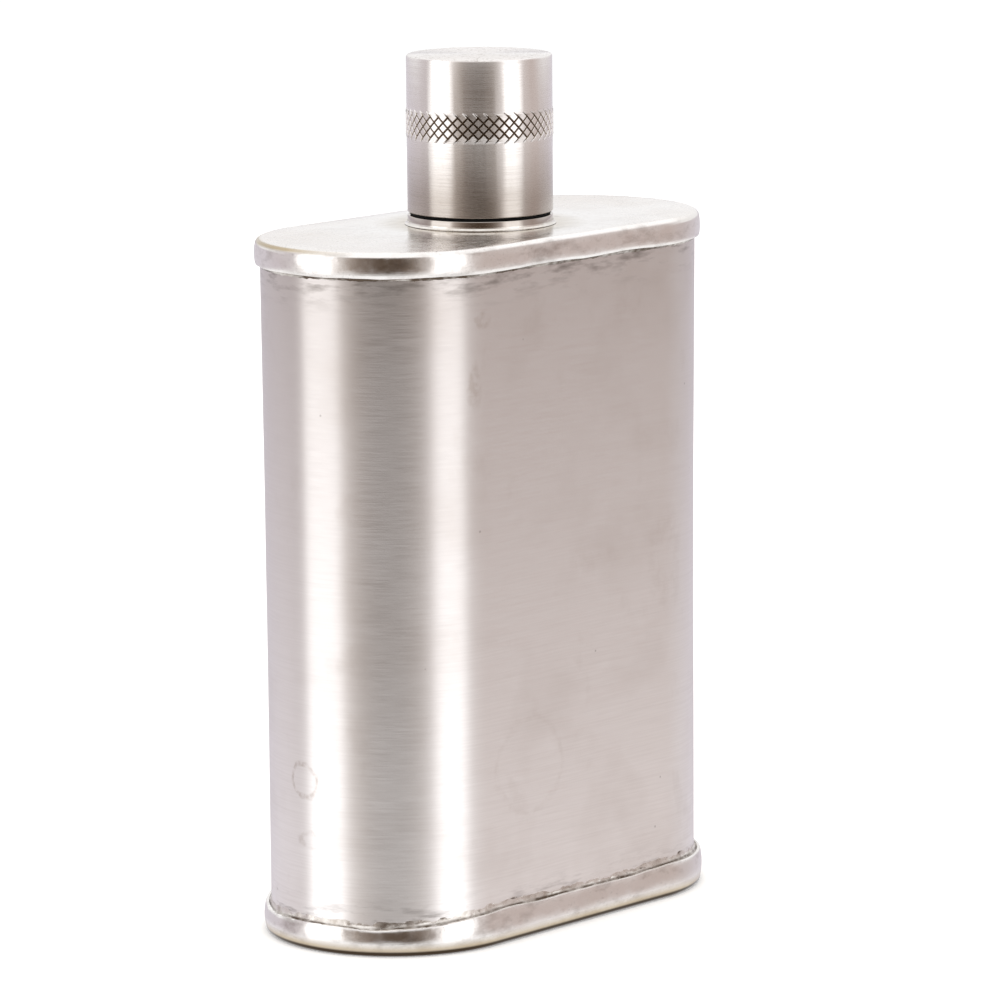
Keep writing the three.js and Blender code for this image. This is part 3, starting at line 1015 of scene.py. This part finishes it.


# soft solder: lumpy, bright where it flowed, with brown flux left in the hollows, and painted shade
# by the skirts
def solderMetal(look):
    material, tree = startMaterial(look["name"])
    place = millimetres(tree)
    lumps = noise(tree, place, 1 / look["lump"], 4, 0.6)
    colour = mix(tree, ramp(tree, noise(tree, place, 0.4, 4, 0.6), (0.42, 0), (0.66, 1)),
                 look["bright"], look["dull"])
    flux = noise(tree, millimetres(tree, 0.4, 0.4, 1.4, (2, 2, 2)), 0.8, 4, 0.65)
    colour = mix(tree, ramp(tree, flux, (look["fluxFrom"], 0), (look["fluxFrom"] + 0.08, 0.8)),
                 colour, look["flux"])
    # painted shade: a dark line where the solder meets a skirt, standing in for the crevice under
    # the skirt's edge, broken here and there
    parts = add(tree, "SeparateXYZ", {0: place}).outputs
    along = between(tree, parts[0], -50, 50)
    lip = multiply(tree, ramp(tree, along, *[((x + 50) / 100, z / 10) for x, z in lipLine]), 10)
    aboveLip = add(tree, "Math", {0: parts[2], 1: lip}, operation="SUBTRACT").outputs[0]
    nearTop = multiply(tree, between(tree, parts[2], 116.2, 116.6),
                       between(tree, parts[2], 119, 118.8))
    nearFoot = between(tree, aboveLip, 0.4, 0.1)
    near = add(tree, "Math", {0: nearTop, 1: nearFoot}, operation="MAXIMUM").outputs[0]
    broken = ramp(tree, noise(tree, place, 0.22, 3, 0.6), (0.36, 0.25), (0.56, 0.95))
    colour = mix(tree, multiply(tree, near, broken), colour, look["flux"])
    rough = between(tree, lumps, 0.3, 0.7, look["roughness"], look["roughness"] + 0.2)
    finishMetal(tree, colour, rough, lumps, look["height"])
    return material


rubber = {"black": linear("060606"), "dust": linear("121110"), "roughness": 0.75}


# moulded nitrile rubber: black, slightly dusty, with a soft sheen
def rubberSkin():
    material, tree = startMaterial("nitrileRubber")
    dust = noise(tree, millimetres(tree), 1.5, 3)
    colour = mix(tree, ramp(tree, dust, (0.5, 0), (0.8, 0.6)), rubber["black"], rubber["dust"])
    bump = add(tree, "Bump", {"Height": dust, "Distance": 0.02 * mm, "Strength": 1})
    shader = add(tree, "BsdfPrincipled", {
        "Base Color": colour, "Roughness": rubber["roughness"], "Specular IOR Level": 0.2,
        "Normal": bump.outputs[0]})
    out = add(tree, "OutputMaterial")
    tree.links.new(shader.outputs[0], out.inputs[0])
    return material


tinplate, cupMetal, steel, solder, wiped, seal = (
    brushedMetal(), pressedMetal(), turnedMetal(), solderMetal(seamSolder), solderMetal(neckSolder),
    rubberSkin())
print("materials ready")


# putting the flask together
def finishSleeve(piece):
    ruffle(piece, clouds("sleeveWaves", sleeve["waveSize"]), sleeve["wave"])
    applyModifier(piece, "SOLIDIFY", thickness=sleeve["sheet"], offset=-1)
    smooth(piece, 40)
    return piece


body = "flask"
finishPiece(finishSleeve(makeSleeve()), tinplate, body, "body_sleeve")
seam = makeSideSeam()
smooth(seam, 50)
finishPiece(seam, solder, body, "side_seam_solder")
for piece, node in ((makeTopCap(), "top_end_cap"), (makeBottomCap(), "bottom_end_cap")):
    smooth(piece, 35)
    finishPiece(piece, cupMetal, body, node)
# which seam, the skirt's edge, up or down, and the bead's reach, gap to the wall and thickness
seams = (("top_seam_solder", topLow.z, -1, 0.75 * mm, 0.05 * mm, 0.75 * mm),
         ("bottom_seam_solder", lipMiddle, 1, 1.1 * mm, -0.2 * mm, 0.72 * mm))
for node, level, up, *sizes in seams:
    piece = makeBead(node + "_bead", level, up, *sizes)
    if up > 0:
        trimEdge(piece, -60 * mm)
    smooth(piece, 60)
    finishPiece(piece, solder, body, node)
piece = makeNeck()
smooth(piece, 32)
finishPiece(piece, steel, body, "threaded_neck")
piece = makeNeckSolder()
smooth(piece, 50)
finishPiece(piece, wiped, body, "neck_solder")
piece = makeRing()
smooth(piece, 50)
finishPiece(piece, seal, "ring", "sealing_ring")
piece = makeCap()
smooth(piece, 30)
finishPiece(piece, steel, "cap", "screw_cap")


# floor, light and camera
view = {
    "turn": math.radians(-48.289),  # round the flask, from looking along +Y
    "rise": math.radians(9.775),
    "roll": math.radians(-0.458),
    "distance": 1059.8 * mm,
    "side": 3.025 * mm,
    "height": 72.398 * mm,
    "sensor": 36,
    "lens": 36 * 6.0325,
}
# the studio as the metal sees it, by degrees round from the camera: soft boxes between dark cloths
room = [
    (-180, "d8d4dc"), (-135, "d8d2d8"), (-110, "d4ccd0"), (-95, "ccc4c6"), (-87, "d8d2d2"),
    (-82, "ffffff"), (-50, "ffffff"), (-44, "e6dfda"), (-38, "c4bab3"), (-31, "a0948a"),
    (-23, "7c6e64"), (-13, "64574d"), (-3, "5b4d41"), (8, "605247"), (18, "7e7167"), (25, "a0968e"),
    (31, "c8c0bc"), (37, "f0ecea"), (43, "ffffff"), (64, "ffffff"), (75, "d7cecb"), (88, "cbbeb9"),
    (100, "c9bbb6"), (120, "d0c7c7"), (150, "dad4da"), (180, "d8d4dc")]
light = {"softBox": 1.75, "ceiling": 1.3, "behind": 1.02, "ground": grey(1.15)}


def makeWorld():
    world = bpy.data.worlds.new("studio")
    bpy.context.scene.world = world
    world.use_nodes = True
    tree = world.node_tree
    tree.nodes.clear()
    place = add(tree, "TexCoord").outputs["Generated"]
    turn = math.pi / 2 - view["turn"]
    turnedPlace = add(tree, "VectorRotate", {"Vector": place, "Angle": turn},
                      rotation_type="Z_AXIS").outputs[0]
    around = add(tree, "TexGradient", {"Vector": turnedPlace}, gradient_type="RADIAL").outputs[1]
    ring = ramp(tree, around, *[((degrees + 180) / 360, linear(code)) for degrees, code in room])
    # only the soft boxes are brighter than paper
    level = add(tree, "RGBToBW", {0: ring}).outputs[0]
    gain = between(tree, level, 0.7, 1, 1.05, light["softBox"])
    bright = add(tree, "VectorMath", {0: ring, 3: gain}, operation="SCALE").outputs[0]
    rise = add(tree, "SeparateXYZ", {0: place}).outputs[2]
    # behind the flask, above its foot, hangs a white sheet
    back = add(tree, "Math", {0: around, 1: 0.5}, operation="SUBTRACT").outputs[0]
    back = add(tree, "Math", {0: back}, operation="ABSOLUTE").outputs[0]
    sheet = multiply(tree, between(tree, back, 0.26, 0.34), between(tree, rise, 0, 0.1))
    colour = mix(tree, sheet, bright, grey(light["behind"]))
    colour = mix(tree, between(tree, rise, 0.32, 0.62), colour, grey(light["ceiling"]))
    colour = mix(tree, between(tree, rise, -0.22, -0.42), colour, light["ground"])
    seen = add(tree, "LightPath").outputs["Is Camera Ray"]
    colour = mix(tree, seen, colour, grey(1.05))
    shader = add(tree, "Background", {"Color": colour, "Strength": 1})
    out = add(tree, "OutputWorld")
    tree.links.new(shader.outputs[0], out.inputs[0])


def makeFloor():
    bpy.ops.object.select_all(action="DESELECT")
    bpy.ops.mesh.primitive_circle_add(vertices=128, radius=1.2, fill_type="NGON",
                                      location=(0, 0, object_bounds()[0][2] - 0.02 * mm))
    floor = bpy.context.active_object
    floor.name = "floor"
    floor.visible_glossy = False
    material, tree = startMaterial("paleFloor")
    shader = add(tree, "BsdfPrincipled", {
        "Base Color": linear("f4f2f0"), "Roughness": 0.9, "Emission Color": grey(1),
        "Emission Strength": 0.25})
    out = add(tree, "OutputMaterial")
    tree.links.new(shader.outputs[0], out.inputs[0])
    floor.data.materials.append(material)


def makeCamera():
    turn, rise, roll = view["turn"], view["rise"], view["roll"]
    back = Vector((math.sin(turn) * math.cos(rise), -math.cos(turn) * math.cos(rise),
                   math.sin(rise)))
    right = Vector((math.cos(turn), math.sin(turn), 0))
    up = back.cross(right)
    tiltedRight = right * math.cos(roll) + up * math.sin(roll)
    tiltedUp = up * math.cos(roll) - right * math.sin(roll)
    data = bpy.data.cameras.new("camera")
    data.sensor_width = view["sensor"]
    data.lens = view["lens"]
    data.clip_start = 0.01
    camera = bpy.data.objects.new("camera", data)
    bpy.context.collection.objects.link(camera)
    place = back * view["distance"] + right * view["side"] + Vector((0, 0, view["height"]))
    camera.matrix_world = Matrix((
        (tiltedRight.x, tiltedUp.x, back.x, place.x),
        (tiltedRight.y, tiltedUp.y, back.y, place.y),
        (tiltedRight.z, tiltedUp.z, back.z, place.z),
        (0, 0, 0, 1)))
    bpy.context.scene.camera = camera


makeWorld()
makeFloor()
makeCamera()
bpy.context.scene.view_settings.view_transform = "Standard"
print("floor, light and camera ready")
